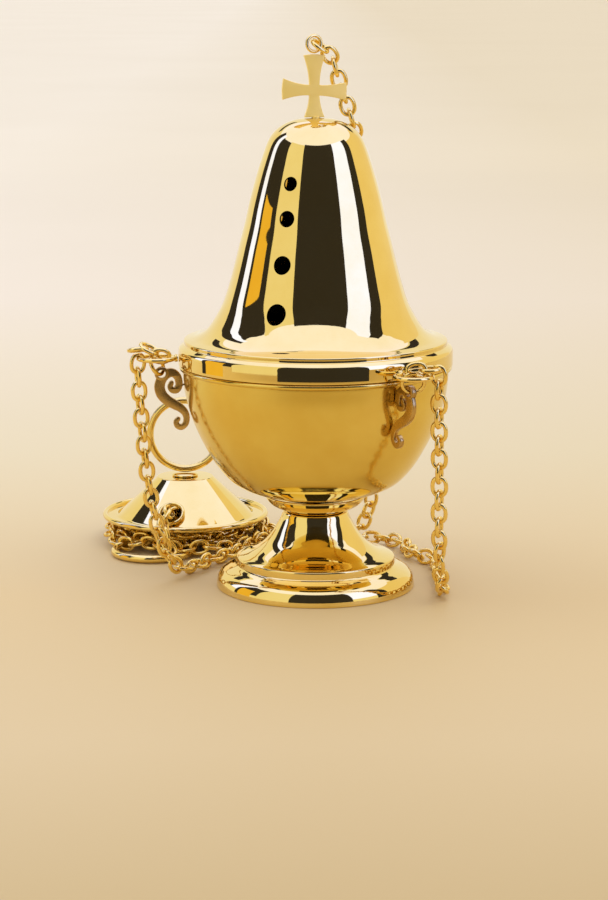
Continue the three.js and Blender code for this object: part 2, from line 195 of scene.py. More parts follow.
def links_along(points, roll):
    """Places of links along points, the line, and its length. roll(height) turns the links about the line."""
    line, real = evenly(points, 0.5 * MM)
    count = max(2, int(round(real / PITCH)))
    step = real / count
    tangents = np.gradient(line, axis=0)
    tangents /= np.linalg.norm(tangents, axis=1)[:, None]
    side = np.cross(tangents[0], [0, 0, 1.0])
    if np.linalg.norm(side) < 0.5:
        side = np.cross(tangents[0], [1.0, 0, 0])
    sides = []
    for t in tangents:
        side = side - t * (side @ t)
        side /= np.linalg.norm(side)
        sides.append(side)
    places = []
    for i in range(count):
        index = int(round((i + 0.5) * step / real * (len(line) - 1)))
        reach = max(1, int(round(0.5 * step / real * (len(line) - 1))))
        before, after = line[max(0, index - reach)], line[min(len(line) - 1, index + reach)]
        x = (after - before) / np.linalg.norm(after - before)
        y = sides[index] - x * (sides[index] @ x)
        y /= np.linalg.norm(y)
        height = line[index][2]
        wobble = WOBBLE["hanging" if height > LOOSE_BELOW else "lying"]
        turn = roll(height) + 90 * (i % 2) + random.uniform(-wobble, wobble)
        y, _ = turned_by(y, np.cross(x, y), turn)
        x, y = turned_by(x, y, random.uniform(-wobble, wobble) * 0.6)
        places.append(((before + after) / 2, x, y))
    return places, line, real


def hanging_roll(hanging, lying):
    """Roll that changes from hanging to lying as the chain comes down to the floor."""
    def roll(height):
        t = min(1, max(0, (height - 0.008) / 0.03))
        return lying + (hanging - lying) * t
    return roll


# The line of each chain in view: four run to the heap, and the tail of the lift chain runs from the hole in
# the cap to the pull ring.
ROUTES = {
    "left": [
        (-89.9, -8.6, 120.6), (-90.3, -8.4, 116), (-90.2, -7.9, 110), (-89.6, -7.1, 101), (-88.4, -5.6, 81),
        (-86.5, -3.6, 60), (-83.6, -1, 40), (-79.9, 2.3, 23), (-75.6, 6.8, 11.5), (-72, 11, 6.2),
        (-68.6, 15.6, 4.5), (-63, 24, 4.2), (-56.6, 36, 4.2), (-49.5, 45, 4.2), (-43, 56.4, 4.2),
    ],
    "right": [
        (59.5, -62.5, 123.2), (59.7, -62.2, 119.4), (59.8, -61.2, 112), (60.2, -58.9, 92), (60.7, -56, 68),
        (61, -52, 44), (62, -45.8, 21), (63.2, -38.6, 9), (64.2, -30, 4.8), (64.8, -20, 4.2),
        (64.9, -6, 4.2), (64.9, 12, 4.2), (64.5, 29, 4.2), (62, 41, 4.2), (56, 46, 4.2), (51.5, 55, 4.2),
        (50, 68, 4.2), (45, 80, 4.2), (36.5, 87, 4.2), (26, 89, 4.2), (14, 89.6, 4.2), (2, 90, 4.2),
        (-11, 91.4, 4.2), (-23, 92.8, 4.2),
    ],
    "rear": [
        (37.5, 82.2, 120.6), (37.8, 82.8, 116), (38.2, 83.8, 108), (38.6, 86, 92), (37.8, 89.2, 78),
        (35.4, 92.2, 55), (31.8, 95, 28), (28.6, 96.8, 13), (23.2, 98.9, 5.8), (16, 100.2, 4.2),
        (4, 101.3, 4.2), (-9, 102.4, 4.2), (-22.4, 103.2, 4.2),
    ],
    "lift": [
        (-0.8, 0, 277.5), (3.4, 1.4, 274.8), (7.4, 3.4, 272), (9.5, 6, 266), (12.2, 8.4, 257),
        (15.6, 10.6, 247), (19, 14.6, 236), (21.2, 21.4, 226.2), (20.2, 29, 215), (17.6, 35.8, 200),
        (14.6, 41.6, 184), (11.6, 46.6, 166), (8.8, 51.8, 150), (6.6, 58.2, 140.2), (4.4, 66, 134.6),
        (2.8, 74, 129.8), (1.6, 78, 123), (0.6, 79, 110), (-1.4, 79, 80), (-3, 79.6, 48), (-4.2, 80.4, 22),
        (-5.5, 81.2, 9.5), (-8.4, 82, 5.2), (-14, 83, 4.2), (-25.2, 84.6, 4.2),
    ],
    "tail": [
        (-74.5, 87, 14.5), (-76.5, 77.5, 17.6), (-78, 70.5, 22.2), (-78.8, 66.6, 24.9), (-80.4, 62.2, 23),
        (-81.8, 56.4, 20.6), (-82.4, 51.6, 15.6), (-80.8, 49.9, 10.8), (-78, 50.2, 8), (-76.2, 49.5, 5.2),
    ],
}
# The links that lie over each guide ring: centre in millimetres, then the directions of a link's length
# and width. SADDLE, for left and rear, counts out, across and up from the bowl's axis along the
# bracket's azimuth.
SADDLE = [
    ((79.1, 0.4, 120.8), (1, 0, 0.12), (0, 0.25, 1)),
    ((84.8, 0, 124.6), (0.91, 0.1, 0.42), (0.12, 0.9, -0.3)),
    ((90.4, -0.6, 124.1), (1, 0.1, -0.06), (0, 1, 0.25)),
]
RIGHT_SADDLE = [
    ((48.6, -66, 122.8), (1, 0.1, 0.05), (0, 0.2, 1)),
    ((55.2, -64.4, 123.2), (1, 0.22, 0.02), (-0.2, 1, 0.12)),
]
# How each chain winds in the heap under the cap: the angle where it starts (degrees round the cap,
# anticlockwise from +X) and its sense, radius and height at the start and the end, and their ripple.
HEAP = {
    "left": {"start": -46, "sense": 1, "radius": (45, 27), "height": (4.2, 12.4), "ripple": (2.6, 1.2),
             "waves": 2.3},
    "right": {"start": 6, "sense": 1, "radius": (43, 26), "height": (9.4, 12.4), "ripple": (2.8, 0.9),
              "waves": 3.1},
    "rear": {"start": 20, "sense": 1, "radius": (36.5, 20), "height": (4.4, 12.6), "ripple": (2, 0.8),
             "waves": 2.6},
    "lift": {"start": -28, "sense": -1, "radius": (45.5, 34), "height": (4.4, 6.5), "ripple": (3.4, 1.3),
             "waves": 4.3},
}


def heap_turns(sweep, start, sense, radius, height, ripple, waves):
    """Points of the winding under the cap, one every 15 degrees."""
    count = max(6, int(sweep / 15))
    points = []
    for i in range(1, count + 1):
        t = i / count
        angle = math.radians(start + sense * sweep * t)
        fade = min(1, 6 * t, 6 * (1 - t))
        r = radius[0] + (radius[1] - radius[0]) * t + ripple[0] * fade * math.sin(waves * angle)
        h = height[0] + (height[1] - height[0]) * t ** 1.6
        h += ripple[1] * fade * (1 + math.sin(2 * waves * angle))
        points.append((CAP_X + r * MM * math.cos(angle), CAP_Y + r * MM * math.sin(angle), h * MM))
    return points


def chain_line(side):
    """The whole line of a chain; the heap takes what is left of the chain's length."""
    route = [tuple(part * MM for part in point) for point in ROUTES[side]]
    if side not in HEAP:
        return catmull(route, 8)
    short, long = 60, 1500
    while long - short > 8:
        sweep = (short + long) / 2
        line = catmull(route + heap_turns(sweep, **HEAP[side]), 8)
        if evenly(line, MM)[1] < CHAIN_LENGTH:
            short = sweep
        else:
            long = sweep
    return line


def saddle_links(side):
    """The links over a guide ring, as places."""
    turn = np.eye(3) if side == "right" else np.array(arm_frame(AZIMUTHS[side]).to_3x3())
    places = []
    for centre, along, across in RIGHT_SADDLE if side == "right" else SADDLE:
        x = turn @ np.array(along, float)
        x /= np.linalg.norm(x)
        y = turn @ np.array(across, float)
        y -= x * (x @ y)
        places.append((turn @ np.array(centre) * MM, x, y / np.linalg.norm(y)))
    return places


def gathered_links(name, x, y, low, high, travel, bodies):
    """Three slack links between two bodies, laid out over the room between them plus the travel and then squeezed
    together into that room.
    Fully drawn out, their centres are 11 to 12 mm apart, so they no longer hang in each other."""
    up, out = np.array([0, 0, 1.0]), np.array([1.0, 0, 0])
    full = high - low + travel * MM
    places = []
    for i, part in enumerate((0.17, 0.5, 0.83)):
        across, _ = turned_by(out, np.cross(up, out), 90 * (i % 2) + 20)
        places.append((np.array([x, y, low + part * full]), up, across))
    piece = link_mesh(name, places)
    for v in piece.data.vertices:
        v.co.z = low + (v.co.z - low) * (high - low) / full
    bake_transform(piece)
    return piece


RISER = {"low": 0.1175, "high": 0.1245, "travel": 30}  # from a jump ring to the lid; travel is the lid's lift
CAP_END = {"low": 0.011, "high": 0.0195, "travel": 25}  # from the heap to an eye; travel is the cap's lift


def make_risers(side):
    out, _ = radial(AZIMUTHS[side])
    foot = out * JUMP_TOP * MM
    return gathered_links(f"riser_{side}", foot[0], foot[1], **RISER, bodies=("root", "lid"))


def make_cap_ends(side):
    out, _ = radial(CAP_EYES[side])
    foot = out * CAP_EYE["reach"] * MM
    return gathered_links(f"cap_end_{side}", CAP_X + foot[0], CAP_Y + foot[1], **CAP_END,
                          bodies=("root", "chain_cap"))


def make_chains():
    """The chains as meshes of links, and the slack links at their ends, which are pieces of their own."""
    rolls = {"left": hanging_roll(68, 45), "right": hanging_roll(-70, 40), "rear": hanging_roll(20, 45),
             "lift": hanging_roll(25, 45), "tail": hanging_roll(35, 35)}
    pieces = []
    for side, roll in rolls.items():
        places, line, real = links_along(chain_line(side), roll)
        path, ends = [*line[::4], line[-1]], []
        if side in AZIMUTHS:
            saddle = saddle_links(side)
            first, along, _ = saddle[0]
            path = [first - along * PITCH / 2, *[place[0] for place in saddle], *path]
            real += np.linalg.norm(np.diff(path[:len(saddle) + 2], axis=0), axis=1).sum()
            places = saddle + places
            ends = [make_risers(side), make_cap_ends(side)]
        piece = link_mesh(f"links_{side}", places)
        if side == "tail":
            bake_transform(piece)
            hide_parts("lift_chain_tail")
        elif side == "lift":
            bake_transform(piece)
            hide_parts("lift_chain_lid", "lift_chain_hanging", "lift_chain_lying")
        else:
            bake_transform(piece)
            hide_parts(f"chain_{side}_hanging", f"chain_{side}_lying")
        if side == "rear":
            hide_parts("chain_heap")
        pieces += [piece, *ends]
    return pieces


# ---- turned pieces ------------------------------------------------------------------------------------
AROUND = 192
BOLT_HOLE = 2.9
STUD_RADIUS = 1.9


def curve(*points, per_span=10):
    """A smooth run of a profile through [radius, height] points, in millimetres."""
    flat = [(r, h, 0) for r, h in points]
    return [(r, h) for r, h, _ in catmull(flat, per_span)]


def arc(centre, radius, start, end, steps=14):
    """A round run of a profile, from one angle to another in degrees (0 is outwards, 90 is up)."""
    found = []
    for k in range(steps + 1):
        a = math.radians(start + (end - start) * k / steps)
        found.append((centre[0] + radius * math.cos(a), centre[1] + radius * math.sin(a)))
    return found


def rounded(points, radius, steps=5):
    """A run of straight lines whose inner corners are rounded to a radius, in millimetres."""
    found = [points[0]]
    for before, corner, after in zip(points, points[1:], points[2:]):
        c = np.array(corner, float)
        into, out = np.array(before, float) - c, np.array(after, float) - c
        room = min(radius, 0.45 * np.linalg.norm(into), 0.45 * np.linalg.norm(out))
        a = c + into / np.linalg.norm(into) * room
        b = c + out / np.linalg.norm(out) * room
        for k in range(steps + 1):
            t = k / steps
            found.append(tuple((1 - t) ** 2 * a + 2 * t * (1 - t) * c + t * t * b))
    return found + [points[-1]]


def lathe(name, profile, around=AROUND, centre=(0, 0), degrees=34):
    """Turns a closed profile, listed up the outside and down the inside, about a vertical axis."""
    points = [profile[0]]
    for p in profile[1:]:
        if math.dist(p, points[-1]) > 0.02:
            points.append(p)
    if math.dist(points[0], points[-1]) < 0.02:
        points.pop()
    verts, rows = [], []
    for r, h in points:
        if r < 1e-6:
            rows.append([len(verts)] * around)
            verts.append((centre[0], centre[1], h * MM))
            continue
        rows.append(list(range(len(verts), len(verts) + around)))
        for k in range(around):
            a = 2 * math.pi * k / around
            verts.append((centre[0] + r * MM * math.cos(a), centre[1] + r * MM * math.sin(a), h * MM))
    faces = []
    for low, high in zip(rows, rows[1:] + rows[:1]):
        for k in range(around):
            m = (k + 1) % around
            corners = [low[k], low[m], high[m], high[k]]
            corners = [v for i, v in enumerate(corners) if v != corners[i - 1]]
            if len(corners) > 2:
                faces.append(corners)
    return sharpen(make_object(name, verts, faces), degrees)


def ring_mesh(name, frame_matrix, radius, wire, around=96, across=20):
    """A round wire ring in the XY plane of a frame, sizes in millimetres."""
    verts, faces = [], []
    for i in range(around):
        a = 2 * math.pi * i / around
        for k in range(across):
            b = 2 * math.pi * k / across
            reach = (radius + wire * math.cos(b)) * MM
            point = Vector((reach * math.cos(a), reach * math.sin(a), wire * MM * math.sin(b)))
            verts.append(frame_matrix @ point)
            j, m = (i + 1) % around, (k + 1) % across
            faces.append((i * across + k, j * across + k, j * across + m, i * across + m))
    return make_object(name, verts, faces)


def join_pieces(name, pieces):
    """Several meshes as one piece."""
    verts, faces, base = [], [], 0
    for piece in pieces:
        verts.extend(piece.matrix_world @ v.co for v in piece.data.vertices)
        faces.extend([base + k for k in p.vertices] for p in piece.data.polygons)
        base += len(piece.data.vertices)
        mesh = piece.data
        bpy.data.objects.remove(piece)
        bpy.data.meshes.remove(mesh)
    return make_object(name, verts, faces)


def cut_holes(piece, drills):
    """Cuts the drills out of a piece and takes them away."""
    for drill in drills:
        change = piece.modifiers.new("cut", "BOOLEAN")
        change.operation = "DIFFERENCE"
        change.solver = "EXACT"
        change.object = drill
    bpy.context.view_layer.update()
    evaluated = piece.evaluated_get(bpy.context.evaluated_depsgraph_get())
    mesh = bpy.data.meshes.new_from_object(evaluated)
    piece.modifiers.clear()
    old, piece.data = piece.data, mesh
    bpy.data.meshes.remove(old)
    for drill in drills:
        bpy.data.objects.remove(drill)


def drill_mesh(name, start, direction, radius, length, around=64):
    """A closed round bar from a point along a direction; sizes in metres."""
    x = Vector(direction).normalized()
    turn = x.to_track_quat("Z", "Y").to_matrix()
    verts = []
    for reach in (0, length):
        for k in range(around):
            a = 2 * math.pi * k / around
            verts.append(Vector(start) + turn @ Vector((radius * math.cos(a), radius * math.sin(a), reach)))
    faces = [(k, (k + 1) % around, around + (k + 1) % around, around + k) for k in range(around)]
    faces += [tuple(range(around))[::-1], tuple(range(around, 2 * around))]
    return make_object(name, verts, faces, smooth=False)


def finish_piece(piece, body, slot, *nodes):
    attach(piece, body)
    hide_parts(*nodes)
    piece.data.materials.clear()
    piece.data.materials.append(MATERIALS[slot])
    return piece


def make_foot():
    outside = [(47.4, 0), *rounded([(48, 0), (50.8, 0), (51.2, 0.5), (51.2, 1.2)], 0.5)]
    outside += curve((51.15, 1.6), (50.95, 3.2), (50.4, 5.1), (49.4, 6.9), (47.8, 8.4), (45.4, 9.6), (43, 10.5),
                     (41.4, 11.3))
    outside += [(40.9, 11.9), *rounded([(40.9, 12.2), (40.9, 15.6), (38.6, 16.6)], 0.7)]
    outside += curve((37.4, 16.9), (33.4, 18.3), (29.7, 20.4), (26.4, 23.1), (23.6, 26.4), (21.3, 29.6),
                     (19.3, 33), (17.8, 36), (16.9, 38.6))
    inside = [(16.6, 39), (BOLT_HOLE, 39), (BOLT_HOLE, 37.4), (15.4, 37.4)]
    inside += curve((15.9, 35.9), (17.9, 31.4), (22.5, 25.2), (28.8, 18.8), (36.8, 15.1), (39.4, 14))
    inside += curve((39.4, 10.4), (45.4, 7.3), (48.4, 5.2), (49.6, 3.4), (49, 1.6), (47.5, 0.4))
    finish_piece(lathe("foot_shell", outside + inside), "root", "polished_brass", "foot")
    disc = [(0, 0), *rounded([(46.4, 0), (47.2, 0), (47.2, 1.1), (46.4, 1.1)], 0.3), (0, 1.1)]
    finish_piece(lathe("foot_disc", disc, 96), "root", "satin_brass", "foot_base_disc")


def make_collar():
    profile = [(BOLT_HOLE, 39.3), *rounded([(14.2, 39.3), (14.8, 39.3), (15, 39.7)], 0.3)]
    profile += curve((15.8, 40.1), (17.8, 40.7), (20.4, 41.8), (22.8, 43.2), (24.7, 45.1), (25.7, 46.7))
    profile += [*arc((25.4, 47.3), 0.6, -10, 120, 10)]
    profile += curve((24.4, 47.65), (22.4, 47.2), (19, 46.4), (15, 46), (12, 45.9)) + [(BOLT_HOLE, 45.9)]
    finish_piece(lathe("collar_dish", profile), "root", "polished_brass", "collar")


def make_bowl():
    shell = curve((12, 46.5), (19, 47.2), (27, 48.9), (36, 51.7), (43.5, 56), (50.3, 63.5), (56.3, 73.2),
                  (61.3, 83.5), (64.7, 93), (67, 103), (67.9, 112.9))
    bead = rounded([(67.9, 113.2), (68.9, 113.5), (69.6, 114.3), (69.6, 115.2), (69, 115.9), (67.9, 116)], 0.6)
    rim = arc((67.1, 121.8), 0.8, 0, 180, 12)
    inside = curve((66.3, 113), (65.4, 103), (63, 93.4), (59.7, 84.2), (54.8, 74.2), (48.9, 64.6), (42.5, 57.4),
                   (35.4, 53.4), (26.7, 50.5), (18.8, 48.8), (12, 48.1))
    profile = [(BOLT_HOLE, 46.4), *shell, *bead, *rim, *inside, (BOLT_HOLE, 48.1)]
    finish_piece(lathe("bowl_shell", profile), "root", "satin_brass", "bowl")


def make_fasteners():
    bolt = [(0, 31), (2, 31), (2.4, 31.4), (2.4, 48.4), (6.5, 48.4), *arc((5.6, 49.2), 0.9, -30, 60, 6)]
    bolt += curve((5.6, 50.2), (4.6, 51), (2.6, 51.6), (0, 51.8))
    finish_piece(lathe("bolt", bolt, 64), "root", "fastener_brass", "centre_bolt")
    washer = rounded([(BOLT_HOLE, 36.6), (BOLT_HOLE, 36.1), (8, 36.1), (8, 37.1), (BOLT_HOLE, 37.1),
                      (BOLT_HOLE, 36.7)], 0.25)
    finish_piece(lathe("washer", washer, 64), "root", "fastener_brass", "foot_washer")
    hex_nut("nut_foot", (0, 0), 32.4, 35.8, 3.2, 5.6, "root", "foot_nut")
    hex_nut("nut_cross", (0, 0), 234.8, 237.6, 2.6, 4.8, "lid", "cross_nut")
    hex_nut("nut_swivel", (CAP_X, CAP_Y), 32, 34.8, 2.6, 4.8, "finger_ring", "swivel_nut")


def hex_nut(name, centre, low, high, bore, across, body, node):
    """A hexagon nut with chamfered corners."""
    rings = [(bore, low), (across - 0.7, low), (across, low + 0.45), (across, high - 0.45),
             (across - 0.7, high), (bore, high)]
    verts, faces = [], []
    for r, h in rings:
        for k in range(6):
            a = math.radians(60 * k)
            verts.append((centre[0] + r * MM * math.cos(a), centre[1] + r * MM * math.sin(a), h * MM))
    for i in range(len(rings)):
        j = (i + 1) % len(rings)
        faces += [(6 * i + k, 6 * i + (k + 1) % 6, 6 * j + (k + 1) % 6, 6 * j + k) for k in range(6)]
    nut = sharpen(make_object(name, verts, faces), 20)
    finish_piece(nut, body, "fastener_brass", node)


def make_pan():
    outside = [(0, 54.8), (12.8, 54.8), *rounded([(12.8, 52), (12.8, 49.2), (14.8, 49.2), (14.8, 55.2)], 0.4)]
    outside += curve((15.2, 55.3), (26, 57.6), (36, 63.4), (43, 72.6), (46.6, 84), (47.4, 95))
    lip = arc((48.2, 96.2), 0.85, -110, 90, 12)
    inside = curve((46.4, 96.9), (45.3, 84.4), (41.8, 73.4), (35.1, 64.6), (25.6, 59), (12, 56.4), (0, 56.2))
    finish_piece(lathe("pan_shell", outside + lip + inside, 128), "charcoal_pan", "pan_iron", "charcoal_pan")


# The bell's outside, radius and height, from the skirt up to the cross.
LID_BELL = [
    (64.9, 129.1), (61.5, 129.9), (58.6, 131.2), (56, 133), (53.9, 135.4), (52.1, 138.1), (49.1, 143.2),
    (46.7, 148.3), (43.4, 158.6), (40.7, 168.7), (38.2, 178.8), (35.6, 188.8), (33.3, 199), (30.6, 209.2),
    (27.6, 219), (24, 228.8), (21.9, 232.3), (19.4, 234.9), (16.4, 237), (13, 238.6), (8, 239.9), (2.4, 240.3),
]
SMOKE_HOLES = [(209.6, 3.5), (192.7, 4), (170.4, 4.55), (146.8, 5.1)]  # height and radius
HOLE_AZIMUTHS = (-24.5, 95.5, 215.5)
DRILLED = (0.136, 0.226)  # the heights of the bell that the holes take in


def make_lid():
    band = [*rounded([(69.2, 116.3), (70, 116.3), (70, 119), (70, 123.3), (69.6, 124.9), (67.6, 126.2),
                      (67.05, 126.5), (67.05, 127.2)], 0.8)]
    step = [*arc((66.4, 128.2), 0.7, -10, 80, 8)]
    lining = curve((2.4, 238.7), (7.6, 238.3), (12.4, 237.1), (18.2, 233.7), (22.6, 228), (26, 218.5),
                   (29, 208.7), (31.7, 198.5), (34, 188.4), (36.6, 178.4), (39.1, 168.3), (41.8, 158.2),
                   (45.1, 147.8), (47.6, 142.3), (50.8, 136.9), (55.2, 131.5), (60.9, 128.4), (65, 127.2))
    skirt = [(65.6, 126.4), (66.4, 124.8), (68.4, 123.4), (68.4, 116.3)]
    bell = curve(*LID_BELL)
    shell = lathe("lid_shell", band + step + bell + lining + skirt)
    drills = []
    for azimuth in HOLE_AZIMUTHS:
        out, _ = radial(azimuth)
        for height, radius in SMOKE_HOLES:
            start = out * 0.02 + np.array([0, 0, height * MM])
            drills.append(drill_mesh("drill", start, out, radius * MM, 0.04))
    cut_holes(shell, drills)
    sharpen(shell)
    keep_turned_normals(shell, bell)
    finish_piece(shell, "lid", "polished_brass", "lid")


def keep_turned_normals(piece, bell):
    """Gives the drilled bell the normals of a whole one, so that its polish stays even round the holes."""
    mesh = piece.data
    radii, heights = np.array(bell).T * MM
    use = (heights > DRILLED[0]) & (heights < DRILLED[1])
    radii, heights = radii[use], heights[use]
    slope = np.gradient(radii, heights)
    point = np.array([v.co for v in mesh.vertices])[[c.vertex_index for c in mesh.loops]]
    found = np.array([tuple(c.vector) for c in mesh.corner_normals])
    facing = np.zeros_like(found)
    for face in mesh.polygons:
        facing[list(face.loop_indices)] = face.normal
    reach = np.hypot(point[:, 0], point[:, 1])
    out = point[:, :2] / np.maximum(reach, 1e-9)[:, None]
    outer = (point[:, 2] > heights[0]) & (point[:, 2] < heights[-1])
    outer &= np.abs(reach - np.interp(point[:, 2], heights, radii)) < 0.05 * MM
    outer &= (facing[:, :2] * out).sum(1) > 0.6
    tilt = -np.interp(point[:, 2], heights, slope)
    size = np.sqrt(1 + tilt ** 2)
    turned = np.column_stack([out[:, 0] / size, out[:, 1] / size, tilt / size])
    found[outer] = turned[outer]
    mesh.normals_split_custom_set([tuple(n) for n in found])


# ---- brackets, jump rings and guide rings -------------------------------------------------------------
# The scroll's spine from the inner curl to the foot: out, up, and half the bar's width there.
SCROLL = [
    (73.6, 107, 1.2), (74.3, 105, 1.4), (73.2, 103.4, 1.6), (71.2, 103.3, 1.7), (69.9, 105.2, 1.8),
    (69.9, 108, 1.9), (70.8, 110.5, 2), (73.2, 112.2, 2.2), (76.1, 111.6, 2.5), (78.6, 109, 2.6),
    (79.7, 105, 2.7), (78.7, 101.2, 2.7), (76, 98.2, 2.6), (72, 95.7, 2.4), (68.9, 93.8, 2.1),
    (66.7, 91.2, 1.8), (66.1, 88.2, 1.6), (66.8, 85.6, 1.5), (68.8, 84.1, 1.5), (70.8, 84.9, 1.5),
    (71.4, 86.9, 1.4), (70.4, 88.3, 1.2),
]
BRACKET_THICKNESS = 2.4
EYE = {"radius": 78.6, "height": 111.8, "boss": 3.6, "hole": 2.1}
JUMP_RING = {"radius": 5.35, "wire": 1, "lean": 25, "twist": 30}
JUMP_TOP = 82.9  # the top of a leaning jump ring, out from the bowl's axis
GUIDE_RING = {"reach": 81.2, "height": 119.7, "radius": 9.1, "wire": 1.15}


def arm_frame(azimuth):
    """+X out along the azimuth, +Y across it, +Z up, from the axis of the bowl."""
    return Matrix.Rotation(math.radians(azimuth - 90), 4, "Z")


def plate_mesh(name, outlines, thickness, bevel, matrix):
    """A flat plate from outlines in its XY plane, in millimetres, with rounded edges."""
    data = bpy.data.curves.new(name, "CURVE")
    data.dimensions = "2D"
    data.fill_mode = "BOTH"
    data.extrude = (thickness / 2 - bevel) * MM
    data.bevel_depth = bevel * MM
    data.offset = -bevel * MM
    data.bevel_resolution = 3
    for outline in outlines:
        line = data.splines.new("POLY")
        line.points.add(len(outline) - 1)
        for p, (x, y) in zip(line.points, outline):
            p.co = (x * MM, y * MM, 0, 1)
        line.use_cyclic_u = True
    holder = placed(name, data)
    bpy.context.view_layer.update()
    mesh = bpy.data.meshes.new_from_object(holder.evaluated_get(bpy.context.evaluated_depsgraph_get()))
    mesh.transform(matrix)
    bpy.data.objects.remove(holder)
    mesh.name = name
    obj = placed(name, mesh)
    tidy_mesh(mesh)
    return sharpen(obj, 30)


def tidy_mesh(mesh):
    """Joins doubled points and makes the faces point outwards."""
    work = bmesh.new()
    work.from_mesh(mesh)
    bmesh.ops.remove_doubles(work, verts=work.verts, dist=1e-6)
    bmesh.ops.recalc_face_normals(work, faces=work.faces)
    work.to_mesh(mesh)
    work.free()


def scroll_outline():
    spine = catmull(SCROLL, 6)
    ahead = np.gradient(spine[:, :2], axis=0)
    ahead /= np.linalg.norm(ahead, axis=1)[:, None]
    side = np.stack([-ahead[:, 1], ahead[:, 0]], 1) * spine[:, 2:]
    left, right = spine[:, :2] + side, spine[:, :2] - side
    ends = []
    for k, turn in ((-1, 1), (0, -1)):
        base = math.atan2(turn * ahead[k][1], turn * ahead[k][0])
        angles = [base + math.pi / 2 - math.pi * t / 8 for t in range(1, 8)]
        ends.append([spine[k, :2] + spine[k, 2] * np.array([math.cos(a), math.sin(a)]) for a in angles])
    return [tuple(p) for p in [*left, *ends[0], *right[::-1], *ends[1]]]


def circle(centre, radius, count=48):
    return [(centre[0] + radius * math.cos(2 * math.pi * k / count),
             centre[1] + radius * math.sin(2 * math.pi * k / count)) for k in range(count)]


def make_bracket(side, azimuth):
    upright = arm_frame(azimuth) @ UPRIGHT
    eye = (EYE["radius"], EYE["height"])
    scroll = plate_mesh("scroll", [scroll_outline()], BRACKET_THICKNESS, 0.45, upright)
    boss = plate_mesh("boss", [circle(eye, EYE["boss"])], BRACKET_THICKNESS + 0.5, 0.5, upright)
    tool = plate_mesh("tool", [circle(eye, EYE["hole"])], 12, 0.01, upright)
    union = scroll.modifiers.new("join", "BOOLEAN")
    union.operation = "UNION"
    union.solver = "EXACT"
    union.object = boss
    cut_holes(scroll, [tool])
    bpy.data.objects.remove(boss)
    scroll.name = f"scroll_bracket_{side}"
    sharpen(scroll, 30)
    finish_piece(scroll, "root", "bracket_bronze", f"bracket_{side}")


def make_jump_ring(side, azimuth):
    eye = shift(EYE["radius"], EYE["height"])
    lean = Matrix.Rotation(math.radians(JUMP_RING["lean"]), 4, "Y")
    lift = shift(0, JUMP_RING["radius"])
    turn = Matrix.Rotation(math.radians(90 - JUMP_RING["twist"]), 4, "Z") @ UPRIGHT
    frame_matrix = arm_frame(azimuth) @ eye @ lean @ lift @ turn
    ring = ring_mesh(f"jump_wire_{side}", frame_matrix, JUMP_RING["radius"], JUMP_RING["wire"], 64, 14)
    finish_piece(ring, f"jump_ring_{side}", "ring_brass", f"jump_ring_{side}")


def make_guide_ring(side, azimuth):
    arm = arm_frame(azimuth)
    place = arm @ shift(GUIDE_RING["reach"], GUIDE_RING["height"])
    ring = ring_mesh("ring", place, GUIDE_RING["radius"], GUIDE_RING["wire"], 96, 16)
    inner = GUIDE_RING["reach"] - GUIDE_RING["radius"]
    shank = [(0, 70.3), (1.9, 70.3), *arc((1.2, 71.3), 0.8, -40, 60, 6)]
    shank += curve((1.5, 72), (1.25, 72.8), (1.35, 73.6)) + [(0, inner + 0.4)]
    bar = lathe("bar", shank, 32)
    bar.data.transform(arm @ shift(0, GUIDE_RING["height"]) @ Matrix.Rotation(math.pi / 2, 4, "Y"))
    piece = join_pieces(f"guide_wire_{side}", [ring, bar])
    sharpen(piece, 40)
    finish_piece(piece, "lid", "ring_brass", f"guide_ring_{side}")


# ---- cross --------------------------------------------------------------------------------------------
CROSS = {"centre": 254, "side": 15.9, "top": 17.3, "foot": 13.4, "waist": 2.6, "thickness": 2.5, "yaw": 10,
         "aside": -0.8}
# The four arms from the right one round: which length, the tip's half width, and the droop in degrees.
ARMS = [("side", 4.4, -2.5), ("top", 5.4, 0), ("side", 5.3, -2.5), ("foot", 5.1, 0)]
CROSS_RING = {"radius": 3.95, "wire": 0.9, "height": 277, "aside": -0.9, "yaw": 28}


def flare(length, tip, bulge=0.9):
    """One arm of the cross along +X: out along a hollow flare, round the tip, and back."""
    waist, steps = CROSS["waist"], 12
    side = []
    for k in range(steps + 1):
        t = k / steps
        x = (1 - t) ** 2 * waist + 2 * t * (1 - t) * length * 0.55 + t * t * length
        side.append((x, (1 - t) ** 2 * waist + 2 * t * (1 - t) * waist + t * t * tip))
    end = [(length + bulge * (1 - (y / tip) ** 2), y) for y in np.linspace(tip, -tip, 9)[1:-1]]
    return [(x, -y) for x, y in side] + end[::-1] + side[::-1]


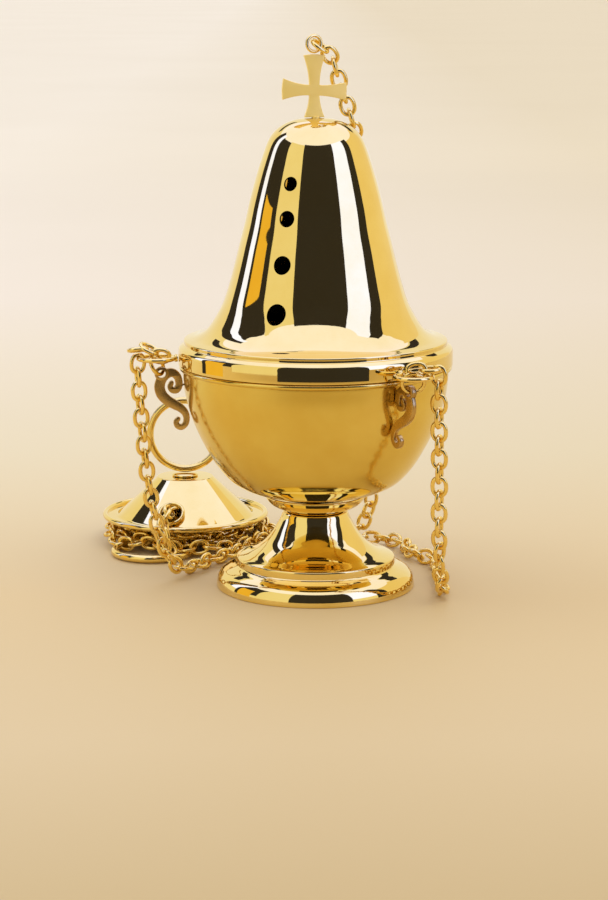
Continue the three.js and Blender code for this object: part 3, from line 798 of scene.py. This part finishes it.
def make_cross():
    outline = []
    for turn, (length, tip, droop) in enumerate(ARMS):
        arm = flare(CROSS[length], tip, 0 if length == "foot" else 0.45)
        angle = math.radians(90 * turn + droop)
        c, s = math.cos(angle), math.sin(angle)
        outline += [(c * x - s * y, s * x + c * y) for x, y in arm[:-1]]
    place = shift(CROSS["aside"], CROSS["centre"])
    place = place @ Matrix.Rotation(math.radians(CROSS["yaw"]), 4, "Z")
    place = place @ UPRIGHT
    arms = plate_mesh("arms", [outline], CROSS["thickness"], 0.22, place)
    low = CROSS["centre"] - CROSS["foot"]
    stud = lathe("stud", [(0, low - 7), (STUD_RADIUS, low - 7), (STUD_RADIUS, low + 0.4), (0, low + 0.4)], 48)
    piece = join_pieces("altar_cross", [arms, stud])
    sharpen(piece, 30)
    finish_piece(piece, "lid", "cross_brass", "cross")
    place = shift(CROSS_RING["aside"], CROSS_RING["height"])
    place = place @ Matrix.Rotation(math.radians(CROSS_RING["yaw"]), 4, "Z") @ UPRIGHT
    ring = ring_mesh("cross_loop", place, CROSS_RING["radius"], CROSS_RING["wire"], 64, 14)
    finish_piece(ring, "lid", "ring_brass", "cross_ring")


# ---- chain cap, finger ring and pull ring -------------------------------------------------------------
CAP_HOLE = {"azimuth": -11, "reach": 31.7, "height": 21, "radius": 6}
GROMMET = {"radius": 6.5, "wire": 1, "gap": 0.3}
CAP_EYES = {"left": 259, "right": 79, "rear": 169}
CAP_EYE = {"reach": 22, "height": 21.5, "radius": 3.2, "wire": 0.8}
FINGER_RING = {"radius": 19.2, "wire": 1.95, "height": 59.75}


def cap_frame(azimuth):
    return Matrix.Translation((CAP_X, CAP_Y, 0)) @ arm_frame(azimuth)


def make_cap():
    brim = [(37, 13.8), (44.3, 13.8), *arc((44.5, 15.4), 1.55, -80, 180, 18)]
    brim += rounded([(42.9, 15.15), (42.2, 15.1), (38.4, 15.1), (37.4, 15.4), (36.6, 16.1)], 0.8)
    outside = [(16.2, 35.6), *arc((14.9, 35.5), 1, 40, 90, 6), (2.9, 36.5)]
    inside = [(2.9, 35.2), *rounded([(10, 35.2), (14.2, 35.2), (20, 30)], 1), (35.8, 14.1)]
    shell = lathe("cap_shell", brim + outside + inside, centre=(CAP_X, CAP_Y))
    place = cap_frame(CAP_HOLE["azimuth"])
    middle = place @ Vector((CAP_HOLE["reach"] * MM, 0, CAP_HOLE["height"] * MM))
    normal = (place.to_3x3() @ Vector((1, 0, 1))).normalized()
    cut_holes(shell, [drill_mesh("drill", middle - 4 * MM * normal, normal, CAP_HOLE["radius"] * MM, 8 * MM)])
    sharpen(shell, 30)
    finish_piece(shell, "chain_cap", "polished_brass", "chain_cap")
    out = (GROMMET["wire"] + GROMMET["gap"]) * math.sqrt(0.5)
    place = place @ shift(CAP_HOLE["reach"] + out, CAP_HOLE["height"] + out)
    ring = ring_mesh("hole_rim", place @ Matrix.Rotation(math.pi / 4, 4, "Y"), GROMMET["radius"], GROMMET["wire"],
                     64, 14)
    finish_piece(ring, "chain_cap", "polished_brass", "grommet")
    for side, azimuth in CAP_EYES.items():
        place = cap_frame(azimuth) @ shift(CAP_EYE["reach"], CAP_EYE["height"])
        ring = ring_mesh(f"inner_eye_{side}", place @ UPRIGHT, CAP_EYE["radius"],
                         CAP_EYE["wire"], 48, 12)
        finish_piece(ring, "chain_cap", "ring_brass", f"cap_eye_{side}")


def make_finger_ring():
    seat = [(0, 31), (STUD_RADIUS, 31), (STUD_RADIUS, 36.8)]
    seat += rounded([(6.4, 36.8), (7.2, 36.8), (7.2, 37.6), (6.2, 38.2)], 0.3) + [(3, 38.3), (0, 38.3)]
    finish_piece(lathe("pedestal", seat, 96, (CAP_X, CAP_Y)), "finger_ring", "polished_brass", "ring_pedestal")
    place = Matrix.Translation((CAP_X, CAP_Y, FINGER_RING["height"] * MM))
    place = place @ UPRIGHT
    ring = ring_mesh("finger_loop", place, FINGER_RING["radius"], FINGER_RING["wire"], 144, 24)
    finish_piece(ring, "finger_ring", "ring_brass", "finger_ring")


def make_pull_ring():
    middle = (PULL_LOW + PULL_HIGH) / 2
    wire = (PULL_HIGH.z - PULL_LOW.z) / 2 / MM
    radius = (PULL_HIGH.x - PULL_LOW.x) / 2 / MM - wire
    ring = ring_mesh("pull_loop", Matrix.Translation(middle), radius, wire, 144, 24)
    return finish_piece(ring, "pull_ring", "ring_brass", "pull_ring")


# ---- materials ----------------------------------------------------------------------------------------
class Nodes:
    """A small builder for node materials."""

    def __init__(self, name):
        self.material = bpy.data.materials.new(name)
        self.material.use_nodes = True
        self.tree = self.material.node_tree
        self.shader = self.tree.nodes["Principled BSDF"]
        self.place = self.add("ShaderNodeTexCoord").outputs["Object"]

    def add(self, kind, **settings):
        node = self.tree.nodes.new(kind)
        for key, value in settings.items():
            setattr(node, key, value)
        return node

    def link(self, a, b):
        self.tree.links.new(a, b)

    def noise(self, scale, detail=3, roughness=0.5, place=None):
        node = self.add("ShaderNodeTexNoise")
        node.inputs["Scale"].default_value = scale
        node.inputs["Detail"].default_value = detail
        node.inputs["Roughness"].default_value = roughness
        self.link(place or self.place, node.inputs["Vector"])
        return node.outputs["Fac"]

    def ranged(self, value, low, high, to_low, to_high):
        node = self.add("ShaderNodeMapRange")
        self.link(value, node.inputs["Value"])
        for key, number in zip(("From Min", "From Max", "To Min", "To Max"), (low, high, to_low, to_high)):
            node.inputs[key].default_value = number
        return node.outputs["Result"]

    def maths(self, operation, a, b):
        node = self.add("ShaderNodeMath", operation=operation)
        for socket, value in zip(node.inputs, (a, b)):
            if isinstance(value, (int, float)):
                socket.default_value = value
            else:
                self.link(value, socket)
        return node.outputs[0]

    def mixed(self, factor, a, b):
        node = self.add("ShaderNodeMix", data_type="RGBA")
        self.link(factor, node.inputs[0])
        for socket, value in ((node.inputs[6], a), (node.inputs[7], b)):
            if isinstance(value, tuple):
                socket.default_value = (*value, 1)
            else:
                self.link(value, socket)
        return node.outputs[2]

    def bump(self, height, strength, distance, normal=None):
        node = self.add("ShaderNodeBump")
        node.inputs["Strength"].default_value = strength
        node.inputs["Distance"].default_value = distance
        self.link(height, node.inputs["Height"])
        if normal is not None:
            self.link(normal, node.inputs["Normal"])
        return node.outputs["Normal"]

    def spun(self, squeeze):
        """Coordinates that run along a turned profile only, so a noise in them makes fine turning lines."""
        split = self.add("ShaderNodeSeparateXYZ")
        self.link(self.place, split.inputs[0])
        x, y = split.outputs[0], split.outputs[1]
        squared = self.maths("ADD", self.maths("MULTIPLY", x, x), self.maths("MULTIPLY", y, y))
        reach = self.maths("SQRT", squared, 0)
        turn = self.maths("ARCTAN2", y, x)
        join = self.add("ShaderNodeCombineXYZ")
        self.link(reach, join.inputs[0])
        self.link(self.maths("MULTIPLY", turn, squeeze), join.inputs[1])
        self.link(split.outputs[2], join.inputs[2])
        return join.outputs[0]


def brass(name, light, dark, roughness, lines=0.02, spread=0.02, grain=0.0, hollow_shade=0.0, metal=1.0,
          polished_below=None):
    """Metal with a drifting tone, uneven polish, fine turning lines and, where asked, grain and painted shade
    that darkens the colour in hollows.
    Below the height polished_below, in metres, it is worn to a mirror."""
    n = Nodes(name)
    n.shader.inputs["Metallic"].default_value = metal
    tone = n.ranged(n.noise(38, 5, 0.6), 0.35, 0.68, 0, 1)
    colour = n.mixed(tone, light, dark)
    # Painted shade: where the surface is hollow (low pointiness), the colour is darkened towards 0.42 times the
    # dark tone.
    if hollow_shade:
        hollow = n.add("ShaderNodeNewGeometry").outputs["Pointiness"]
        colour = n.mixed(n.ranged(hollow, 0.5 - hollow_shade, 0.5, 1, 0), colour, tuple(0.42 * c for c in dark))
    n.link(colour, n.shader.inputs["Base Color"])
    rough = n.ranged(n.noise(55, 6, 0.65), 0.3, 0.75, roughness, roughness + spread)
    if polished_below:
        split = n.add("ShaderNodeSeparateXYZ")
        n.link(n.place, split.inputs[0])
        worn = n.ranged(split.outputs[2], polished_below, polished_below + 0.006, 0.2, 1)
        rough = n.maths("MULTIPLY", rough, worn)
    n.link(rough, n.shader.inputs["Roughness"])
    turned = n.spun(0.0006)
    normal = n.bump(n.noise(2600, 2, 0.5, turned), lines, 0.00004)
    normal = n.bump(n.noise(24, 2, 0.4), 0.05, 0.0004, normal)
    if grain:
        normal = n.bump(n.noise(900, 4, 0.6), grain, 0.0001, normal)
    n.link(normal, n.shader.inputs["Normal"])
    return n.material


GILT, DEEP = (0.9, 0.69, 0.23), (0.86, 0.63, 0.18)
METALS = {
    "polished_brass": {"light": GILT, "dark": DEEP, "roughness": 0.02, "spread": 0.025},
    "satin_brass": {"light": (0.82, 0.62, 0.145), "dark": (0.77, 0.55, 0.11), "roughness": 0.125, "lines": 0.2,
                    "spread": 0.05, "polished_below": 0.058},
    "cross_brass": {"light": (0.99, 0.76, 0.225), "dark": (0.96, 0.71, 0.19), "roughness": 0.4, "grain": 0.1,
                    "lines": 0, "spread": 0.08, "metal": 0.32},
    "ring_brass": {"light": (0.92, 0.68, 0.2), "dark": DEEP, "roughness": 0.07, "lines": 0, "spread": 0.06,
                   "hollow_shade": 0.03},
    "chain_brass": {"light": (0.97, 0.74, 0.23), "dark": (0.9, 0.62, 0.14), "roughness": 0.13, "lines": 0,
                    "spread": 0.12, "grain": 0.06, "hollow_shade": 0.06},
    "bracket_bronze": {"light": (0.7, 0.46, 0.15), "dark": (0.38, 0.23, 0.065), "roughness": 0.22, "lines": 0,
                       "spread": 0.14, "grain": 0.14, "hollow_shade": 0.05},
    "fastener_brass": {"light": (0.8, 0.57, 0.2), "dark": (0.62, 0.42, 0.13), "roughness": 0.16, "lines": 0,
                       "spread": 0.12, "grain": 0.06, "hollow_shade": 0.05},
    "pan_iron": {"light": (0.12, 0.11, 0.1), "dark": (0.05, 0.045, 0.04), "roughness": 0.5, "lines": 0.3,
                 "spread": 0.25, "grain": 0.4, "hollow_shade": 0.04},
}


# ---- studio -------------------------------------------------------------------------------------------
FLOOR_SIZE = 60
FLOOR_PAINTED_FALLOFF = [  # how far back from the foot, in metres, and the floor's colour there, with the light's falloff painted in: darker at the front, paler at the back
    (-0.6, (0.48, 0.34, 0.155)), (-0.44, (0.55, 0.41, 0.2)), (-0.27, (0.64, 0.495, 0.28)),
    (-0.03, (0.67, 0.505, 0.265)), (0.36, (0.71, 0.61, 0.415)), (1.1, (0.8, 0.71, 0.6)),
    (3, (0.87, 0.78, 0.655)),
]


def make_floor():
    n = Nodes("floor")
    split = n.add("ShaderNodeSeparateXYZ")
    n.link(n.place, split.inputs[0])
    near, far = FLOOR_PAINTED_FALLOFF[0][0], FLOOR_PAINTED_FALLOFF[-1][0]
    # Painted light falloff: the floor's colour ramps from darker at the front to paler at the back.
    ramp = n.add("ShaderNodeValToRGB")
    n.link(n.ranged(split.outputs[1], near, far, 0, 1), ramp.inputs[0])
    stops = ramp.color_ramp.elements
    stops[0].color, stops[1].color = (*FLOOR_PAINTED_FALLOFF[0][1], 1), (*FLOOR_PAINTED_FALLOFF[-1][1], 1)
    for back, tone in FLOOR_PAINTED_FALLOFF[1:-1]:
        stops.new((back - near) / (far - near)).color = (*tone, 1)
    # Painted shade: the floor is paler and bluer on the left and darker and warmer on the right, multiplied into
    # the painted falloff.
    shade = n.mixed(n.ranged(split.outputs[0], -0.5, 0.5, 0, 1), (1.06, 1.09, 1.17), (0.94, 0.91, 0.82))
    painted_floor_light = n.add("ShaderNodeMix", data_type="RGBA", blend_type="MULTIPLY")
    painted_floor_light.inputs[0].default_value = 1
    n.link(ramp.outputs[0], painted_floor_light.inputs[6])
    n.link(shade, painted_floor_light.inputs[7])
    cloud = n.mixed(n.ranged(n.noise(1.3, 3), 0.3, 0.7, 0, 0.05), painted_floor_light.outputs[2], (0.5, 0.4, 0.25))
    n.link(cloud, n.shader.inputs["Base Color"])
    n.link(n.ranged(n.noise(3, 3), 0, 1, 0.55, 0.65), n.shader.inputs["Roughness"])
    n.shader.inputs["Specular IOR Level"].default_value = 0.2
    corners = [(x * FLOOR_SIZE, y * FLOOR_SIZE, 0) for x, y in ((-1, -1), (1, -1), (1, 1), (-1, 1))]
    floor = make_object("floor", corners, [(0, 1, 2, 3)])
    floor.data.materials.append(n.material)


def card(name, azimuths, heights, radius, light):
    """A curved studio card that only shows in the polish: a strip of a cylinder round the object."""
    steps = max(2, int(abs(azimuths[1] - azimuths[0]) / 2))
    verts = []
    for i in range(steps + 1):
        out, _ = radial(azimuths[0] + (azimuths[1] - azimuths[0]) * i / steps)
        for reach, height in zip(radius if isinstance(radius, tuple) else (radius, radius), heights):
            verts.append((out[0] * reach, out[1] * reach, height))
    faces = [(2 * i, 2 * i + 2, 2 * i + 3, 2 * i + 1) for i in range(steps)]
    obj = make_object(name, verts, faces)
    material = bpy.data.materials.new(name)
    material.use_nodes = True
    tree = material.node_tree
    tree.nodes.clear()
    glow = tree.nodes.new("ShaderNodeEmission")
    strength = max(light)
    glow.inputs["Color"].default_value = (*[part / strength for part in light], 1)
    glow.inputs["Strength"].default_value = strength
    tree.links.new(glow.outputs[0], tree.nodes.new("ShaderNodeOutputMaterial").inputs["Surface"])
    obj.data.materials.append(material)
    obj.visible_camera = False
    obj.visible_diffuse = False
    obj.visible_shadow = False


def area_light(name, place, target, size, power, colour, glossy=False):
    data = bpy.data.lights.new(name, "AREA")
    data.shape = "DISK"
    data.size = size
    data.energy = power
    data.color = colour
    light = placed(name, data)
    light.location = place
    light.rotation_euler = (Vector(target) - Vector(place)).to_track_quat("-Z", "Y").to_euler()
    light.visible_glossy = glossy


DARK, WHITE = (0.036, 0.034, 0.045), (1.15, 1.45, 4.2)
PALE, CREAM, GOLD = (1.14, 1.24, 2.35), (0.96, 0.92, 0.8), (0.95, 0.82, 0.55)
AMBER = (0.95, 0.62, 0.1)
# Studio cards round the thurible: azimuths in degrees, heights and distance in metres, and light. The dark and
# white strips make the upright bands in the lid's polish; the ceiling lights whatever faces up.
CARDS = [
    ("front_dark", (-30, 42), (0, 0.8), 0.62, DARK),
    ("right_white", (42, 74), (0.13, 0.84), 0.66, WHITE),
    ("right_dark", (74, 90), (0, 0.82), 0.66, DARK),
    ("right_gold", (90, 146), (0.05, 1.4), 1.6, GOLD),
    ("left_cream", (-70, -30), (0.02, 0.84), 0.7, CREAM),
    ("left_line", (-79, -70), (0.1, 0.78), 0.68, DARK),
    ("left_amber", (-99, -79), (0, 0.36), 0.66, AMBER),
    ("left_shade", (-99, -79), (0.36, 0.78), 0.68, DARK),
    ("left_edge", (-104, -99), (0, 0.8), 0.68, DARK),
    ("left_white", (-115, -104), (0.16, 0.9), 0.68, WHITE),
    ("left_band", (-129, -115), (0.16, 0.9), 0.68, DARK),
    ("back_right", (142, 166), (1.16, 1.5), 2, DARK),
    ("back_left", (-170, -148), (1.16, 1.42), 2, DARK),
    ("wall", (-180, 180), (0, 2), 2.6, CREAM),
    ("ceiling", (-180, 180), (2, 2.6), (2.6, 0.01), PALE),
]


def make_studio():
    make_floor()
    world = bpy.data.worlds.new("studio")
    bpy.context.scene.world = world
    world.use_nodes = True
    world.node_tree.nodes["Background"].inputs["Color"].default_value = (1, 0.97, 0.92, 1)
    world.node_tree.nodes["Background"].inputs["Strength"].default_value = 1
    area_light("key", (0.9, -0.7, 2.2), (0, 0, 0.1), 1.6, 11, (1, 0.96, 0.9))
    area_light("fill", (-1.6, 0.2, 1.5), (0, 0, 0.1), 1.4, 4, (1, 0.95, 0.88))
    for name, azimuths, heights, distance, light in CARDS:
        card(f"card_{name}", azimuths, heights, distance, light)


# ---- the whole thurible -------------------------------------------------------------------------------
make_camera()
MATERIALS = {name: brass(name, **look) for name, look in METALS.items()}
pull_ring = make_pull_ring()
for chain in make_chains():
    chain.data.materials.append(MATERIALS["chain_brass"])
make_foot()
make_collar()
make_bowl()
make_fasteners()
make_pan()
for side, azimuth in AZIMUTHS.items():
    make_bracket(side, azimuth)
    make_jump_ring(side, azimuth)
    make_guide_ring(side, azimuth)
make_lid()
make_cross()
make_cap()
make_finger_ring()
make_studio()
bpy.context.scene.view_settings.view_transform = "Standard"
